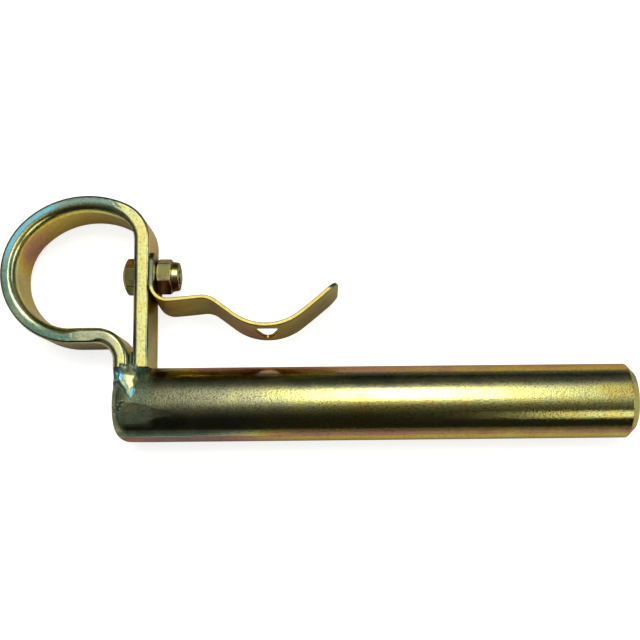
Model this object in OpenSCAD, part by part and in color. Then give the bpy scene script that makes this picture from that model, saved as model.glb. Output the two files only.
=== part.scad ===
// Hitch pin: a round steel shank with a flat-bar loop handle welded to its head
// end, and a bent spring leaf bolted to the handle's straight leg.
// The shank's axis is X and its free tip points to +X. The origin is on that axis
// at the shoulder, the face of the straight leg that a drawn-up plate stops against.
// The handle stands to +Y and the bar's width lies along Z, so the pin lies on its side.

/* [Shank] */
// Diameter of the shank
shank_d = 28.575; // [22:0.025:40]
// Length from the shoulder to the tip
grip_l = 185.3; // [120:0.1:260]
// Size of the 45 degree lead-in at the tip
tip_chamfer = 3; // [1:0.1:5]
// How far the head end stands past the handle
head_over = 0.6; // [0:0.1:4]
// Rounding of the head end's rim
head_round = 6; // [1:0.1:8]
// Taper of the head end, where it was dressed after welding, on the radius
head_taper = 0.15; // [0.05:0.05:0.5]

/* [Handle bar] */
// Width of the flat bar
bar_w = 25.4; // [16:0.1:27]
// Thickness of the flat bar
bar_t = 6; // [4:0.1:8]
// Rounding along the bar's edges
bar_edge_r = 1.3; // [0.4:0.1:1.8]
// Gap between the two bar ends on the shank
leg_gap = 1.5; // [1:0.1:4]
// How deep the bar ends sit into the shank's crown
seat_depth = 0.4; // [0.2:0.1:1.5]

/* [Handle bends, to the middle of the bar] */
// Length of the straight leg, above the shank's crown
leg_l = 48.7; // [46.5:0.1:64]
// Radius of the bend over the straight leg
crown_r = 12.4; // [10:0.1:16]
// Angle of the bend over the straight leg
crown_a = 65; // [55:1:75]
// Radius of the shallow bend across the top
back_r = 32.6; // [28:0.1:36]
// Angle of the shallow bend across the top
back_a = 69; // [60:1:75]
// Radius of the round end
round_r = 24.5; // [22:0.1:25.8]
// Radius of the last bend, down onto the shank
heel_r = 9.7; // [7:0.1:11]

/* [Spring leaf, bends to the middle of the leaf] */
// Width of the leaf
leaf_w = 25.4; // [18:0.1:27]
// Thickness of the leaf
leaf_t = 1.6; // [1:0.1:2]
// Height of the leaf's foot above the bolt
foot_up = 7.4; // [7:0.1:12]
// Distance from the bolt down to the foot's bend
foot_down = 6; // [6:0.1:9]
// Radius of the foot's bend
foot_r = 6.5; // [6:0.1:10]
// Rise of the arm away from square
arm_rise = 5.3; // [0:0.1:12]
// Straight length of the arm
arm_l = 11.4; // [6:0.1:20]
// Radius of the shoulder bend
shoulder_r = 8.3; // [5:0.1:12]
// Slope down towards the shank
dip_a = 37; // [20:1:45]
// Straight length of that slope
dip_l = 8.5; // [4:0.1:12]
// Radius of the dip
dip_r = 21; // [16:0.1:26]
// Slope of the tip away from the shank
tip_a = 40.5; // [20:0.5:50]
// Straight length of the tip
tip_l = 18.6; // [12:0.1:26]
// Corner rounding at both ends of the leaf
leaf_corner_r = 5; // [2:0.1:7]
// Width of the catch hole in the dip, at its round end
catch_d = 10; // [6:0.1:11]
// Width of the catch hole at its narrow end
catch_tail_d = 4; // [2:0.1:5.5]
// Length of the catch hole, over the leaf's width
catch_l = 16.6; // [13:0.1:19]
// Turn of the leaf about its bolt, as it was clamped
leaf_turn = 5.6; // [0:0.1:8]

/* [Clip bolt and lock nut] */
// Height of the bolt above the shank's crown
bolt_up = 36; // [32:0.1:42]
// Diameter of the bolt
bolt_d = 7.94; // [6:0.01:8]
// Clearance of the bolt in its holes, on the diameter
bolt_play = 0.8; // [0.4:0.1:1.5]
// Width of the bolt head and of the nut across flats
hex_af = 12.7; // [12:0.1:14]
// Height of the bolt head
bolt_head_h = 6; // [4:0.1:7]
// Radius of the head's domed end
bolt_dome_r = 13; // [10:0.5:30]
// Height of the lock nut
nut_h = 8.7; // [7:0.1:10]
// Length of bolt that stands out of the nut
bolt_out = 0.5; // [0.3:0.1:3]

/* [Weld] */
// How far the weld stands above the shank's crown
weld_lap = 2.2; // [1:0.1:3]
// Height of the weld in the gap between the bar ends
weld_root = 6; // [2:0.1:10]

/* [Hidden] */
$fn = 96;

shank_r = shank_d / 2;
foot_span = 2 * bar_t + leg_gap;       // both bar ends and the gap between them
head_l = foot_span + head_over;
leg_x = -bar_t / 2;                    // middle of the straight leg
heel_x = -foot_span + bar_t / 2;       // middle of the bar's other end
seat_y = shank_r - seat_depth;         // the bar ends reach down to here
bolt_y = shank_r + bolt_up;
bolt_hole_d = bolt_d + bolt_play;
hex_corner_r = hex_af / 2 / cos(30);
hex_land_r = 0.95 * hex_af / 2;        // flat ring left at the end of a hexagon
hex_lead = (hex_corner_r - hex_land_r) * tan(30);
head_turn = 40;                        // as the bolt and the nut were left
nut_turn = 23;
nut_x = leaf_t;
nut_hex_h = 0.68 * nut_h;              // the rest of the nut is its round collar
collar_d = 0.94 * hex_af;
collar_round = 0.6;
insert_h = 0.2 * nut_h;
insert_x = nut_x + 0.94 * nut_h - insert_h;
insert_d = collar_d - 2;
lip_bore = bolt_d + 1.6;               // mouth of the collar, rolled over the insert
bolt_l = bar_t + leaf_t + nut_h + bolt_out;
thread_lead = 0.7;
bow_r = 300;                           // bow of the leaf between its bends
cut = 1;                               // how far a cutting tool passes the metal

// A pose on a bent bar is [x, y, heading]. step is [length, 0] for a straight,
// or [radius, angle] for a bend, with a positive angle turning left.
function after(p, step) = step[1] == 0
    ? [p[0] + step[0] * cos(p[2]), p[1] + step[0] * sin(p[2]), p[2]]
    : let (s = sign(step[1]), h = p[2] + step[1])
      [p[0] + s * step[0] * (sin(h) - sin(p[2])),
       p[1] - s * step[0] * (cos(h) - cos(p[2])), h];
function pose(p, steps, n) = n == 0 ? p : after(pose(p, steps, n - 1), steps[n - 1]);

function hundredth(x) = round(100 * x) / 100;

// The handle starts on the shank, goes up the straight leg, round the loop and
// back along the bottom. The last two lengths are what closes it onto the head.
handle_start = [leg_x, seat_y, 90];
loop_steps = [[leg_l + seat_depth, 0], [crown_r, crown_a], [back_r, back_a],
              [round_r, 270 - crown_a - back_a]];
loop_end = pose(handle_start, loop_steps, len(loop_steps));
handle_steps = concat(loop_steps,
    [[hundredth(heel_x - heel_r - loop_end[0]), 0], [heel_r, -90],
     [hundredth(loop_end[1] - heel_r - seat_y), 0]]);

// The leaf starts at the top of its foot, flat on the leg, and ends at its tip.
// Between its bends it has the slight bow of a strip that was never flattened.
function bow(l) = hundredth(l / bow_r * 180 / PI);
leaf_start = [leaf_t / 2, bolt_y + foot_up, -90];
foot_l = foot_up + foot_down;
leaf_steps = [[foot_l, 0], [foot_r, 90 + arm_rise - bow(arm_l) / 2], [bow_r, bow(arm_l)],
              [shoulder_r, -(arm_rise + bow(arm_l) / 2 + dip_a - bow(dip_l) / 2)],
              [bow_r, -bow(dip_l)], [dip_r, dip_a + bow(dip_l) / 2 + tip_a - bow(tip_l) / 2],
              [bow_r, bow(tip_l)]];
dip_start = pose(leaf_start, leaf_steps, 5);
leaf_end = pose(leaf_start, leaf_steps, 7);
catch_x = dip_start[0] - dip_r * sin(dip_start[2]);

// Positions leave OpenSCAD with six digits. Each is given as a rounded part and
// the small rest, so that neighbouring steps of a bent bar share a face exactly.
module shift(x, y) {
    translate([hundredth(x), hundredth(y), 0])
        translate([x - hundredth(x), y - hundredth(y), 0]) children();
}

// Places its children at a pose, with the direction of travel along +Y
module at_pose(p) {
    shift(p[0], p[1]) rotate([0, 0, p[2] - 90]) children();
}

// Sends its children, a section with X across the bar and Y along Z, down one step.
// A straight's heading is a whole number of quarter turns.
module sweep_step(p, step) {
    side = sign(step[1]);
    turn_x = p[0] - side * step[0] * sin(p[2]);
    turn_y = p[1] + side * step[0] * cos(p[2]);
    if (side == 0)
        at_pose(p) rotate([-90, 0, 0]) linear_extrude(step[0]) children();
    else
        shift(turn_x, turn_y)
            rotate_extrude(start = (p[2] - side * 90 + min(step[1], 0) + 720) % 360, angle = abs(step[1]))
                translate([step[0], 0]) children();
}

module along_x(x) {
    translate([x, 0, 0]) rotate([0, 90, 0]) children();
}

// Section of the handle bar, with rounded edges
module bar_section() {
    r = bar_edge_r;
    square([bar_t - 2 * r, bar_w], center = true);
    square([bar_t, bar_w - 2 * r], center = true);
    for (i = [-1, 1], j = [-1, 1])
        translate([i * (bar_t / 2 - r), j * (bar_w / 2 - r)]) circle(r);
}

module bar_step(n) {
    sweep_step(pose(handle_start, handle_steps, n), handle_steps[n]) bar_section();
}

module hexagon(x, h, turned) {
    along_x(x) rotate([0, 0, turned]) cylinder(h = h, r = hex_corner_r, $fn = 6);
}

// The shank's grip is a true cylinder from the shoulder to the lead-in
module shank_body() {
    end_r = shank_r - head_taper;
    rotate([0, 90, 0]) rotate_extrude() difference() {
        polygon([[0, -head_l], [end_r, -head_l], [end_r, -head_l + head_round], [shank_r, 0],
                 [shank_r, grip_l - tip_chamfer], [shank_r - tip_chamfer, grip_l], [0, grip_l]]);
        translate([end_r - head_round, -head_l]) difference() {
            translate([0, -cut]) square([head_round + cut, head_round + cut]);
            translate([0, head_round]) circle(head_round);
        }
    }
}

module shank() {
    color("#a5975a") shank_body();
}

module handle_bar() {
    color("#c9bf62") difference() {
        union() {
            for (n = [0 : len(handle_steps) - 1]) bar_step(n);
        }
        shank_body();
        translate([0, bolt_y, 0]) along_x(-bar_t - cut)
            cylinder(h = bar_t + 2 * cut, d = bolt_hole_d);
    }
}

// The weld fills the wedges under the bar's flat ends and the gap between them,
// and laps down both sides of the shank, thinning out to a point.
module weld_bead() {
    deep = bar_w - 2 * bar_edge_r;
    low = weld_lap / 2;
    color("#8f8f7a") difference() {
        union() {
            translate([-foot_span + 0.3, 0, -deep / 2]) cube([foot_span - 0.5, seat_y, deep]);
            translate([-foot_span + bar_t, 0, -deep / 2])
                cube([leg_gap, seat_y + weld_root, deep]);
            intersection() {
                translate([0, weld_lap, 0]) along_x(-foot_span - cut)
                    cylinder(h = foot_span + 2 * cut, r = shank_r);
                translate([0, 0, -shank_d]) linear_extrude(2 * shank_d)
                    polygon([[-foot_span + 0.3, seat_y], [-0.2, seat_y],
                             [-foot_span / 2 + 1.2, low], [-foot_span / 2 - 0.4, low]]);
            }
        }
        shank_body();
        bar_step(0);
        bar_step(len(handle_steps) - 1);
    }
}

// Takes the two corners off an end of the leaf that lies at y = 0, with the metal below
module corner_cut() {
    r = leaf_corner_r;
    rotate([90, 0, 90]) translate([0, 0, -2 * leaf_t]) linear_extrude(4 * leaf_t)
        for (j = [0, 1]) mirror([0, j]) translate([-r, leaf_w / 2 - r]) difference() {
            square(r + cut);
            circle(r);
        }
}

module spring_leaf() {
    color("#b5ad4a") translate([0, bolt_y, 0]) rotate([-leaf_turn, 0, 0])
        translate([0, -bolt_y, 0]) difference() {
            union() {
                for (n = [0 : len(leaf_steps) - 1])
                    sweep_step(pose(leaf_start, leaf_steps, n), leaf_steps[n])
                        square([leaf_t, leaf_w], center = true);
            }
            translate([leaf_start[0], leaf_start[1], 0]) corner_cut();
            at_pose(leaf_end) corner_cut();
            translate([0, bolt_y, 0]) along_x(-cut) cylinder(h = leaf_t + 2 * cut, d = bolt_hole_d);
            translate([catch_x, dip_start[1] + cut, 0]) rotate([90, 0, 0])
                linear_extrude(dip_r / 2) catch_hole();
        }
}

// An egg-shaped hole with its round end to +Z. The tail's corners lie inside both circles.
module catch_hole() {
    big = catch_d / 2;
    small = catch_tail_d / 2;
    top = -catch_l / 2 + big;
    low = catch_l / 2 - small;
    translate([0, top]) circle(big);
    translate([0, low]) circle(small);
    polygon([[-0.97 * big, top], [0.97 * big, top], [0.93 * small, low], [-0.93 * small, low]]);
}

module clip_bolt() {
    end_x = -bar_t - bolt_head_h;
    color("#8d8a52") translate([0, bolt_y, 0]) {
        intersection() {
            hexagon(end_x, bolt_head_h, head_turn);
            translate([end_x + bolt_dome_r, 0, 0]) sphere(bolt_dome_r);
        }
        along_x(-bar_t - cut) cylinder(h = bolt_l - thread_lead + cut, d = bolt_d);
        along_x(-bar_t + bolt_l - thread_lead)
            cylinder(h = thread_lead, d1 = bolt_d, d2 = bolt_d - 2 * thread_lead);
    }
}

module lock_nut() {
    color("#9a9455") translate([0, bolt_y, 0]) difference() {
        union() {
            intersection() {
                hexagon(nut_x, nut_hex_h, nut_turn);
                along_x(nut_x) rotate_extrude() polygon([[0, 0], [hex_land_r, 0],
                    [hex_corner_r + hex_lead, 2 * hex_lead], [hex_corner_r + hex_lead, nut_hex_h - 2 * hex_lead],
                    [hex_land_r, nut_hex_h], [0, nut_hex_h]]);
            }
            along_x(nut_x + nut_hex_h) rotate_extrude() {
                square([collar_d / 2, nut_h - nut_hex_h - collar_round]);
                square([collar_d / 2 - collar_round, nut_h - nut_hex_h]);
                translate([collar_d / 2 - collar_round, nut_h - nut_hex_h - collar_round])
                    circle(collar_round);
            }
        }
        along_x(nut_x - cut) cylinder(h = nut_h + 2 * cut, d = bolt_d);
        along_x(insert_x) cylinder(h = insert_h, d = insert_d);
        along_x(insert_x) cylinder(h = nut_h, d = lip_bore);
    }
}

module nylon_insert() {
    color("white") translate([0, bolt_y, 0]) along_x(insert_x) difference() {
        cylinder(h = insert_h, d = insert_d);
        translate([0, 0, -cut]) cylinder(h = insert_h + 2 * cut, d = bolt_d);
    }
}

shank();
handle_bar();
weld_bead();
spring_leaf();
clip_bolt();
lock_nut();
nylon_insert();
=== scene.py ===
"""Hitch pin: a plated steel shank, its loop handle of flat bar, the weld between them, and the
spring leaf that is bolted to the handle. Every surface here is worked out in millimetres in the
part's own frame, and becomes metres when its mesh is made."""

import math

import bmesh
import bpy
import numpy as np
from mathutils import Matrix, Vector


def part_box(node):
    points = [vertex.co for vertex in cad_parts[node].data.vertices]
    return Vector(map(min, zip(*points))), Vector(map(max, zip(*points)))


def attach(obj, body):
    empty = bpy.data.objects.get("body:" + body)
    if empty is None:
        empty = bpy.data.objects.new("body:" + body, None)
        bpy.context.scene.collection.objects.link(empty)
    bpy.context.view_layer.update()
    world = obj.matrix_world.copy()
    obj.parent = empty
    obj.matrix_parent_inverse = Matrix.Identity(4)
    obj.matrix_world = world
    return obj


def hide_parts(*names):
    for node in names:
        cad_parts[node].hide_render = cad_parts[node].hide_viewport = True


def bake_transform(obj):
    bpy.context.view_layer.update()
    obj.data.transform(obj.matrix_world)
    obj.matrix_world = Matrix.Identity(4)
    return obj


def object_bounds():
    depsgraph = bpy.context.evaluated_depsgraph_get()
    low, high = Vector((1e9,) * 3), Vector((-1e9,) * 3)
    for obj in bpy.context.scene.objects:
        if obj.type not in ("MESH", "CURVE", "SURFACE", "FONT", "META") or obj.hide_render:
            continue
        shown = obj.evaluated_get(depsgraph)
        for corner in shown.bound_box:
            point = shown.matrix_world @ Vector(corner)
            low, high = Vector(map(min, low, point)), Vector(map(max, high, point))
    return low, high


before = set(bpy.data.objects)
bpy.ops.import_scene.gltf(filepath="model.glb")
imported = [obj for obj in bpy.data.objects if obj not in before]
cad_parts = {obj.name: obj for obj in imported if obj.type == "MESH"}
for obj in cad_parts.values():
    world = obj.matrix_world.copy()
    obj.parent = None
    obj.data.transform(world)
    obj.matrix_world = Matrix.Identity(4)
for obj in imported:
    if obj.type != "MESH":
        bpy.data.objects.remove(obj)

cad_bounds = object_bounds()
MM = 0.001


def cad_box(node):
    """Lowest and highest corner of a CAD node, in millimetres."""
    low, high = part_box(node)
    return np.array(low) / MM, np.array(high) / MM


# ---------------------------------------------------------------- sizes, in millimetres

SHANK_LOW, SHANK_HIGH = cad_box("shank")
HANDLE_LOW, HANDLE_HIGH = cad_box("handle_bar")
BOLT_LOW, BOLT_HIGH = cad_box("clip_bolt")
NUT_LOW, NUT_HIGH = cad_box("lock_nut")
INSERT_LOW, INSERT_HIGH = cad_box("nylon_insert")

SHANK_R = SHANK_HIGH[2]
HEAD_X = SHANK_LOW[0]
TIP_X = SHANK_HIGH[0]
HEAD_R = SHANK_R - 0.15          # the head end was dressed a little under size
HEAD_ROUND = 6
HEAD_BLEND = 20                  # rounding where the dressed end runs into the full size
HEAD_END = 9                     # from here on the shank is a plain round bar
TIP_CHAMFER = 3
TIP_EDGE_R = 0.5
STRUCK_AT = [(-13.2, -1.6), (-12.3, -3.9), (-9.6, 0.4)]    # a V-shaped mark, as (x, arc length)
STRUCK_DEPTH, STRUCK_W = 0.6, 0.6

BAR_T = 6
BAR_W = 2 * HANDLE_HIGH[2]
BAR_EDGES = (2.0, 1.3)           # rounding of the edges inside the loop and outside it
BEND_SWELL = 1.5                 # added to that inside the loop's bends, where the steel was upset
FOOT_DRESSED = 1.2               # added to that on the heel's outer side, which was ground
LEG_GAP = 1.5
FOOT_SPAN = 2 * BAR_T + LEG_GAP
SEAT_Y = HANDLE_LOW[1]
LEG_ABOVE_CROWN = 48.7           # straight part of the leg, above the shank's crown
LEG_L = LEG_ABOVE_CROWN + SHANK_R - SEAT_Y
CROWN_R, CROWN_A = 12.4, 65      # the loop's bends in order, with their angles in degrees
BACK_R, BACK_A = 32.6, 69
ROUND_R = 24.5
HEEL_R = 9.7

LEAF_T = 1.6
LEAF_W = 25.4
LEAF_EDGE_R = 0.5
LEAF_END_R = 0.3                 # rounding of the thickness at both cut ends
LEAF_CORNER_R = 5
LEAF_TURN = 5.6                  # degrees about its bolt
FOOT_UP, FOOT_DOWN, FOOT_R = 7.4, 6, 6.5     # above and below the bolt, and the bend under it
ARM_RISE, ARM_L = 5.3, 11.4
SHOULDER_R, DIP_A, DIP_L, DIP_R = 8.3, 37, 8.5, 21
TIP_A, TIP_L = 40.5, 18.6
BOW_R = 300                      # of the slight bow that the straights keep
CATCH_D, CATCH_TAIL_D, CATCH_L = 10, 4, 16.6

WELD_FLOOR_R = 9.5               # the weld's hidden floor, inside the shank

BOLT_Y = (INSERT_LOW[1] + INSERT_HIGH[1]) / 2
BOLT_R = 3.97
HOLE_R = 4.37
HOLE_WINDOW = (3.2, 3.2)         # half sizes of the grid window that is drawn onto a bolt hole
CATCH_WINDOW = (3.2, 6.6)        # the same for the catch hole
LIP_R = 0.25                     # rounding of a hole's rims
THREAD_PITCH = 1.41              # 18 threads to the inch
THREAD_DEPTH = 0.75
THREAD_LEAD, THREAD_END_R = 0.7, 2.55
HEX_AF = 12.7
HEX_CORNER_R = HEX_AF / 2 * 1.138    # the corners are a little worn
HEX_BLANK_R = HEX_AF / 2 * 1.16      # of the round blank that is cut to the hexagon
HEX_DOME_R = HEX_AF / 2 * 1.14       # out to which the bolt head's end is domed
HEX_LAND_R = 0.95 * HEX_AF / 2       # of the flat face inside a hexagon's chamfer
HEAD_TURN, NUT_TURN = 40, 23         # degrees from -Z towards +Y at which a corner stands
COLLAR_R = 0.47 * HEX_AF
COLLAR_ROUND = 0.6
NUT_HEX, NUT_LIP, NUT_INSERT = 0.68, 0.94, 0.2    # shares of the nut's height
DOME_R = 13


# ---------------------------------------------------------------- mesh making

class Shape:
    """Collects grids of points, and becomes one closed mesh. Each point also has a place on the
    flat blank, a film tone, and a roughness from 0, smooth, to 1, rough."""

    def __init__(self):
        self.points, self.faces, self.blanks = [], [], []
        self.count = 0

    def add(self, points, wrap=False, inside_out=False, keep=None, blank=None):
        """Adds a grid, rows by columns by 3. wrap joins the last column to the first, keep is a
        mask of the quads to make, and blank gives the points' places on the flat blank."""
        rows, columns = points.shape[:2]
        index = np.arange(rows * columns).reshape(rows, columns) + self.count
        looped = np.hstack([index, index[:, :1]]) if wrap else index
        quads = np.stack([looped[:-1, :-1], looped[1:, :-1], looped[1:, 1:], looped[:-1, 1:]], -1)
        quads = quads[keep] if keep is not None else quads.reshape(-1, 4)
        self.faces.append(quads[:, ::-1] if inside_out else quads)
        self.points.append(points.reshape(-1, 3))
        self.blanks.append((points if blank is None else blank).reshape(-1, 3))
        self.count += rows * columns

    def build(self, name, material, finish=None, sharp=35):
        """Makes the mesh: near points are merged, which also closes seams and poles. finish
        gives the tone and the roughness of points from where they are and from their blank."""
        points, blank = np.concatenate(self.points), np.concatenate(self.blanks)
        tone, rough = finish(points, blank) if finish else (0 * points[:, 0], 0 * points[:, 0])
        mesh = bpy.data.meshes.new(name)
        mesh.from_pydata(points * MM, [], np.concatenate(self.faces).tolist())
        for label, kind, values in (("tone", "FLOAT", tone), ("rough", "FLOAT", rough),
                                    ("blank", "FLOAT_VECTOR", blank * MM)):
            field = "value" if kind == "FLOAT" else "vector"
            layer = mesh.attributes.new(label, kind, "POINT")
            layer.data.foreach_set(field, np.ascontiguousarray(values, np.float32).ravel())
        piece = bpy.data.objects.new(name, mesh)
        bpy.context.scene.collection.objects.link(piece)
        merge_points(mesh)
        mesh.shade_smooth()
        mesh.set_sharp_from_angle(angle=math.radians(sharp))
        mesh.materials.append(material)
        return piece


def merge_points(mesh):
    """Merges points that lie within a micrometre, and turns every face outwards."""
    work = bmesh.new()
    work.from_mesh(mesh)
    bmesh.ops.remove_doubles(work, verts=work.verts, dist=1e-6)
    bmesh.ops.recalc_face_normals(work, faces=work.faces)
    work.to_mesh(mesh)
    work.free()


def smooth(x):
    """Rises smoothly from 0 to 1 as x goes from 0 to 1."""
    x = np.clip(x, 0, 1)
    return x * x * (3 - 2 * x)


def patch(points, centre, size):
    """1 at a centre, falling off as a bell over the given size along X, Y and Z."""
    return np.exp(-(((points - np.array(centre)) / np.array(size)) ** 2).sum(-1))


def tinted(tone, points, zones):
    """A film tone with soft zones added to it, each given as (amount, centre, size)."""
    for amount, centre, size in zones:
        tone = tone + amount * patch(points, centre, size)
    return tone


def waves(points, length, seed):
    """A soft pattern from -1 to 1: a sum of plane waves about one length, in seeded directions."""
    count = 7
    draw = np.random.default_rng(seed)
    total = np.zeros(points.shape[:-1])
    for _ in range(count):
        direction = draw.normal(size=3)
        direction *= 2 * math.pi / (length * draw.uniform(0.7, 1.5)) / np.linalg.norm(direction)
        total = total + np.sin(points @ direction + draw.uniform(0, 2 * math.pi))
    return total / count ** 0.5 / 1.2


def outline(corners, spacing=1.0):
    """A profile through corners (x, r, fillet radius): straights sampled at the spacing, each
    corner replaced by the arc that is tangent to both its sides. A point close to each end of a
    straight keeps the shading of its neighbours apart."""
    points = np.array([c[:2] for c in corners], float)
    fillets = [c[2] for c in corners[1:]]
    line = [points[:1]]
    for before, corner, after, fillet in zip(points, points[1:], points[2:], fillets):
        back, ahead = before - corner, after - corner
        back, ahead = back / np.linalg.norm(back), ahead / np.linalg.norm(ahead)
        half = math.acos(np.clip(back @ ahead, -1, 1)) / 2
        centre = corner + (back + ahead) / np.linalg.norm(back + ahead) * fillet / math.sin(half)
        first = corner + back * fillet / math.tan(half) - centre
        last = corner + ahead * fillet / math.tan(half) - centre
        sweep = math.pi - 2 * half
        t = np.linspace(0, 1, max(3, math.ceil(sweep / math.radians(9))))[:, None]
        arc = (first * np.sin((1 - t) * sweep) + last * np.sin(t * sweep)) / math.sin(sweep)
        line.append(centre + arc)
    line.append(points[-1:])
    dense = [line[0]]
    for previous, piece in zip(line, line[1:]):
        gap = np.linalg.norm(piece[0] - previous[-1])
        t = np.linspace(0, 1, max(2, math.ceil(gap / spacing) + 1))[1:-1, None]
        support = 0.06 / max(gap, 0.2)
        t = np.vstack([[[support]], t[(t > support) & (t < 1 - support)][:, None], [[1 - support]]])
        dense += [previous[-1] + (piece[0] - previous[-1]) * t, piece]
    return np.concatenate(dense)


def turned(profile, around, centre_y=0.0, radius=lambda x, r, turn: r):
    """Carries a profile (x, r) round an axis along X. The radius may vary with the turn, which
    is 0 at +Z and a quarter at +Y."""
    turn = np.linspace(0, 2 * math.pi, around, endpoint=False)[None, :]
    x = np.repeat(profile[:, :1], around, axis=1)
    r = radius(x, np.repeat(profile[:, 1:], around, axis=1), turn)
    return np.stack([x, centre_y + r * np.sin(turn), r * np.cos(turn)], -1)


# ---------------------------------------------------------------- bent strips

class Bend:
    """Maps a flat blank onto its bent form. A point of the blank is s along the middle line, w
    across it and h off it. The middle line is straights (length, 0) and arcs (radius, angle)."""

    def __init__(self, start, steps):
        poses, ends = [start], [0.0]
        for size, angle in steps:
            x, y, heading = poses[-1]
            side = np.sign(angle)
            turned_to = heading + math.radians(angle)
            if angle:
                x += side * size * (math.sin(turned_to) - math.sin(heading))
                y -= side * size * (math.cos(turned_to) - math.cos(heading))
            else:
                x += size * math.cos(heading)
                y += size * math.sin(heading)
            poses.append((x, y, turned_to))
            ends.append(ends[-1] + (size * abs(math.radians(angle)) if angle else size))
        self.poses, self.ends = np.array(poses), np.array(ends)
        self.curve = np.array([side / size for size, side in ((s, np.sign(a)) for s, a in steps)])
        self.length = ends[-1]

    def __call__(self, s, w, h):
        """Where (s, w, h) of the blank lies: the middle line at s, plus h along its left normal
        and w along Z."""
        s, w, h = np.broadcast_arrays(s, w, h)
        step = np.clip(np.searchsorted(self.ends, s, side="right") - 1, 0, len(self.curve) - 1)
        x, y, heading = (self.poses[step, k] for k in range(3))
        run = s - self.ends[step]
        curve = self.curve[step]
        now = heading + run * curve
        bent = np.abs(curve) > 0
        safe = np.where(bent, curve, 1.0)
        x = x + np.where(bent, (np.sin(now) - np.sin(heading)) / safe, run * np.cos(heading))
        y = y - np.where(bent, (np.cos(now) - np.cos(heading)) / safe, -run * np.sin(heading))
        return np.stack([x - h * np.sin(now), y + h * np.cos(now), w], -1)


class TurnedBend:
    """A bent form that is turned about an axis along X, which lies at a height on Y."""

    def __init__(self, bend, angle, centre_y):
        self.bend, self.length = bend, bend.length
        self.angle, self.centre_y = angle, centre_y

    def __call__(self, s, w, h):
        p = self.bend(s, w, h) - (0, self.centre_y, 0)
        y = p[..., 1] * math.cos(self.angle) - p[..., 2] * math.sin(self.angle)
        z = p[..., 1] * math.sin(self.angle) + p[..., 2] * math.cos(self.angle)
        return np.stack([p[..., 0], y + self.centre_y, z], -1)


def marks(low, high, spacing, stops):
    """Evenly spaced values from low to high that also pass through every stop between them."""
    stops = sorted({low, high, *[s for s in stops if low < s < high]})
    runs = [np.linspace(a, b, max(2, math.ceil((b - a) / spacing) + 1))[:-1]
            for a, b in zip(stops, stops[1:])]
    return np.concatenate(runs + [[high]])


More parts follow.
